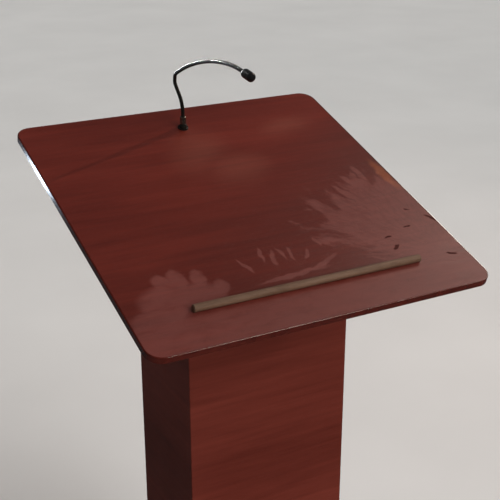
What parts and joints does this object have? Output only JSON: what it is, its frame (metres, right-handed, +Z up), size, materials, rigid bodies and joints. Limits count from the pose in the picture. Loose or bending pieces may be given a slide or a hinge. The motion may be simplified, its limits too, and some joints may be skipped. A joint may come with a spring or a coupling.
{
  "type": "lectern podium",
  "caption": "Standing lectern: a sloped mahogany-faced desk with a dowel paper stop on a boxed column and flat base, with a flexible-neck microphone at the back of the desk.",
  "frame": {"origin": "on the floor under the middle of the desk outline", "axes": "+Z up; the speaker stands on the -Y side and faces +Y; +X is to the speaker's right"},
  "size_m": [0.61, 0.5966, 1.3224],
  "materials": {
    "mahogany_top": "satin lacquered mahogany veneer laminate, grain across the desk",
    "mahogany_panel": "satin lacquered mahogany veneer",
    "backing_sheet": "plain balancing veneer, matt",
    "core_board": "bare fibreboard",
    "inner_timber": "planed softwood",
    "edge_moulding": "semi-gloss mahogany-coloured edge moulding",
    "dowel_wood": "unstained hardwood dowel, matt, handled",
    "zinc_steel": "bright zinc plate",
    "black_metal": "gloss black",
    "bright_metal": "bright nickel",
    "capsule_metal": "black anodised, semi-gloss",
    "element_metal": "plain",
    "black_rubber": "matt",
    "nylon": "matt black nylon",
    "contact_brass": "plain",
    "foam": "open-cell foam"
  },
  "bodies": {
    "stand": {"base_bolts": "zinc_steel", "base_core": "core_board", "base_edge_band": "edge_moulding", "base_tee_nuts": "zinc_steel", "base_top_laminate": "mahogany_top", "base_washers": "zinc_steel", "bottom_plate_screws": "zinc_steel", "cleat_screws": "zinc_steel", "column_back_panel": "mahogany_panel", "column_bottom_plate": "inner_timber", "column_front_panel": "mahogany_panel", "column_left_panel": "mahogany_panel", "column_right_panel": "mahogany_panel", "column_top_plate": "inner_timber", "connector_insert": "nylon", "connector_pins": "contact_brass", "corner_cleat_back_left": "inner_timber", "corner_cleat_back_right": "inner_timber", "corner_cleat_front_left": "inner_timber", "corner_cleat_front_right": "inner_timber", "desk_backing_laminate": "backing_sheet", "desk_core": "core_board", "desk_edge_band": "edge_moulding", "desk_fixing_screws": "zinc_steel", "desk_top_laminate": "mahogany_top", "glide_back_left": "nylon", "glide_back_right": "nylon", "glide_front_left": "nylon", "glide_front_right": "nylon", "glide_screws": "zinc_steel", "lower_cable_grommet": "black_rubber", "mic_flange": "black_metal", "mic_gasket": "black_rubber", "mic_nut": "bright_metal", "mic_washer": "bright_metal", "paper_stop": "dowel_wood", "paper_stop_screws": "zinc_steel", "top_plate_screws": "zinc_steel", "upper_cable_grommet": "black_rubber"},
    "neck_base": {"neck_stub": "black_metal", "mic_collar": "bright_metal"},
    "neck_lower": {"neck_lower_link": "black_metal"},
    "neck_rear": {"neck_rear_link": "black_metal"},
    "neck_front": {"neck_front_link": "black_metal"},
    "neck_tip": {"neck_tip_link": "black_metal"},
    "capsule": {"capsule_housing": "capsule_metal", "capsule_grille": "capsule_metal", "grille_foam": "foam", "capsule_element": "element_metal"}
  },
  "joints": [
    {"name": "neck_swivel", "type": "hinge", "parent": "stand", "child": "neck_base", "pos_m": [-0.005, 0.22911, 1.18312], "axis": [0, 0, 1], "range_deg": [-90, 90]},
    {"name": "lower_bend", "type": "hinge", "parent": "neck_base", "child": "neck_lower", "pos_m": [-0.005, 0.23255, 1.21027], "axis": [-1, 0, 0], "range_deg": [-5, 30]},
    {"name": "upper_bend", "type": "hinge", "parent": "neck_lower", "child": "neck_rear", "pos_m": [-0.005, 0.26092, 1.25276], "axis": [-1, 0, 0], "range_deg": [-6, 35]},
    {"name": "rear_bend", "type": "hinge", "parent": "neck_rear", "child": "neck_front", "pos_m": [-0.005, 0.16305, 1.29903], "axis": [-1, 0, 0], "range_deg": [-8, 25]},
    {"name": "front_bend", "type": "hinge", "parent": "neck_front", "child": "neck_tip", "pos_m": [-0.005, 0.06294, 1.31758], "axis": [-1, 0, 0], "range_deg": [-10, 25]},
    {"name": "capsule_tilt", "type": "hinge", "parent": "neck_tip", "child": "capsule", "pos_m": [-0.005, -0.00824, 1.31565], "axis": [-1, 0, 0], "range_deg": [-30, 30]}
  ]
}
